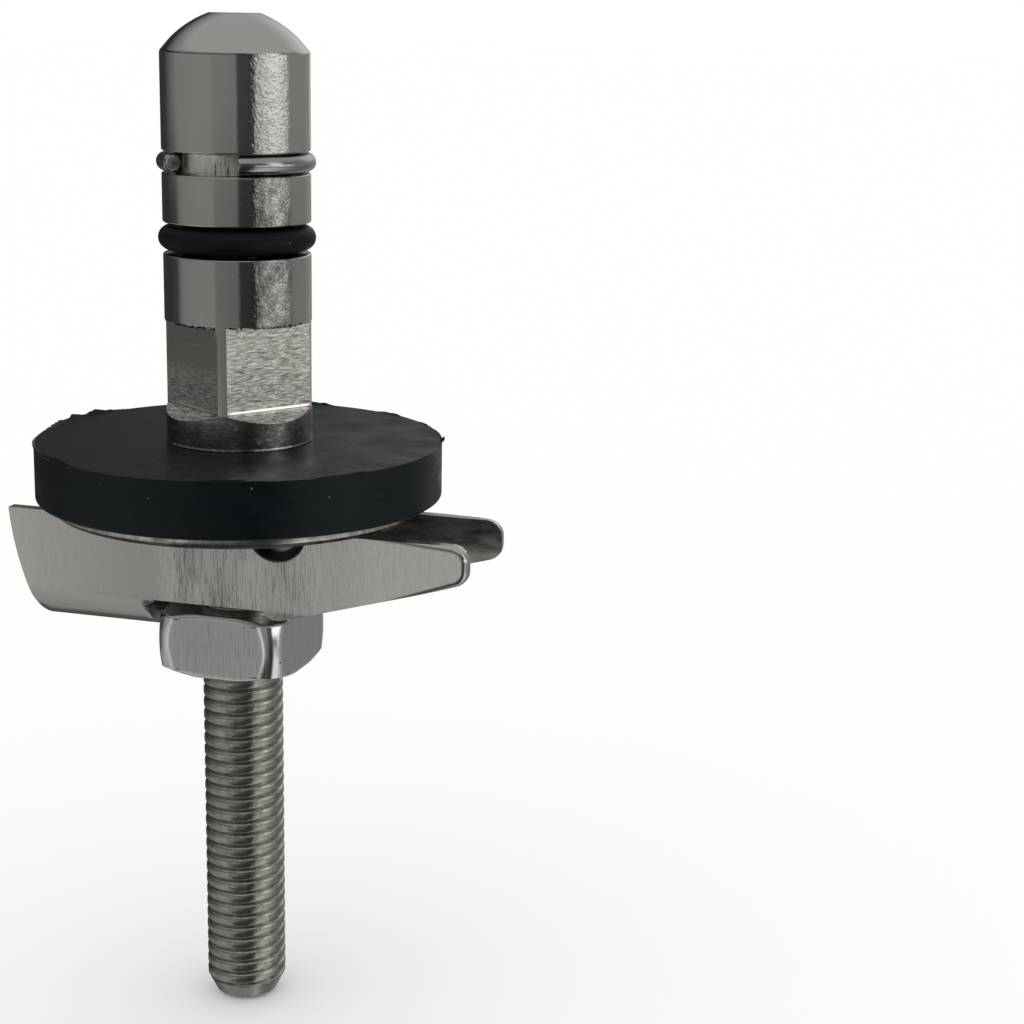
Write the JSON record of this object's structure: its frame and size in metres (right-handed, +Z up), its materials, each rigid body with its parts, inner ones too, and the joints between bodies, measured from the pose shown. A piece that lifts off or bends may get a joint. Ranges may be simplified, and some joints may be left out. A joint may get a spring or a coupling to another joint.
{
  "type": "toilet seat hinge post with toggle fixing",
  "caption": "Round stainless hinge post for a lift-off toilet seat, with snap ring and sealing ring, rubber and steel washers, and a folded toggle drawn up by a square nut on a threaded stud.",
  "frame": {"origin": "on the post's axis, at the underside of the steel washer, where the pan's top face lies", "axes": "+Z up the post towards its tip; +X along the toggle towards its forked end"},
  "size_m": [0.0472, 0.0392, 0.0976],
  "materials": {
    "post_steel": "turned and polished stainless steel",
    "stud_steel": "rolled thread, stainless steel",
    "ring_steel": "bright drawn spring wire",
    "sheet_steel": "satin pressed sheet",
    "nut_steel": "tumbled stainless steel",
    "black_rubber": "moulded matt rubber",
    "seal_rubber": "smooth matt rubber"
  },
  "bodies": {
    "washers": {"rubber_washer": "black_rubber", "steel_washer": "sheet_steel"},
    "post": {"hinge_post": "post_steel", "threaded_stud": "stud_steel", "snap_ring": "ring_steel", "sealing_ring": "seal_rubber"},
    "nut": {"square_nut": "nut_steel"},
    "toggle": {"toggle_wing": "sheet_steel"}
  },
  "joints": [
    {"name": "post_turn", "type": "hinge", "parent": "washers", "child": "post", "pos_m": [0, 0, 0], "axis": [0, 0, 1], "range_deg": [0, 8640]},
    {"name": "nut_run", "type": "slide", "parent": "washers", "child": "nut", "axis": [0, 0, -1], "range_m": [0, 0.03]},
    {"name": "toggle_tip", "type": "hinge", "parent": "nut", "child": "toggle", "pos_m": [0.0063, 0, -0.0007], "axis": [0, 1, 0], "range_deg": [0, 40]}
  ],
  "couplings": [
    {"joint": "nut_run", "follows": "post_turn", "m_per_rad": 0.00019894},
    {"joint": "toggle_tip", "follows": "post_turn", "ratio": 0.0046296}
  ]
}
